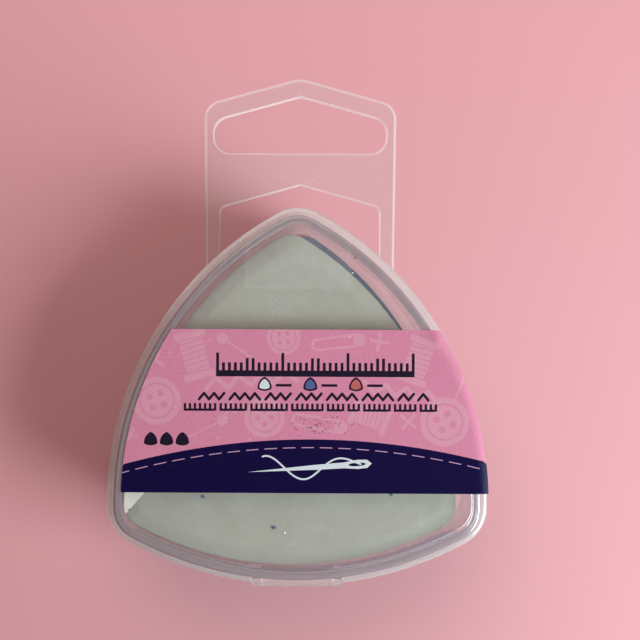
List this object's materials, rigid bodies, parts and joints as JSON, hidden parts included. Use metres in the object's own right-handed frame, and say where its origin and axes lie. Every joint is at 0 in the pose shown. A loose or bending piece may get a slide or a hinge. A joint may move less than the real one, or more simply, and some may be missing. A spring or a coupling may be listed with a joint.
{
  "type": "tailor's chalk box",
  "caption": "Clear hinged hanging box of stacked rounded-triangle tailor's chalks, with a wide hanging slot, a stuck-on label across the lid and a clear sealing tape.",
  "frame": {"origin": "middle of the box's rounded triangle, on its flat back", "axes": "+Y towards the hanging tab, +Z out of the lid's face, +X to the right when the lid faces the viewer"},
  "size_m": [0.0662, 0.0911, 0.0191],
  "materials": {
    "clear_plastic": "crystal-clear moulded polystyrene, polished",
    "printed_label": "coated paper label printed in two pinks and a navy band, satin",
    "tape_film": "clear adhesive film, glossy",
    "chalk_red": "pressed dry chalk, dusty matte, dull red",
    "chalk_blue": "pressed dry chalk, dusty matte, dark blue",
    "chalk_white": "pressed dry chalk, dusty matte, off-white"
  },
  "bodies": {
    "case": {"base_tray": "clear_plastic", "hang_tab": "clear_plastic", "red_chalk": "chalk_red", "blue_chalk": "chalk_blue", "white_chalk": "chalk_white"},
    "lid": {"lid": "clear_plastic", "front_label": "printed_label", "seal_tape": "tape_film"}
  },
  "joints": [
    {"name": "lid_hinge", "type": "hinge", "parent": "case", "child": "lid", "pos_m": [0, -0.02812, 0.0146], "axis": [1, 0, 0], "range_deg": [0, 180]}
  ]
}
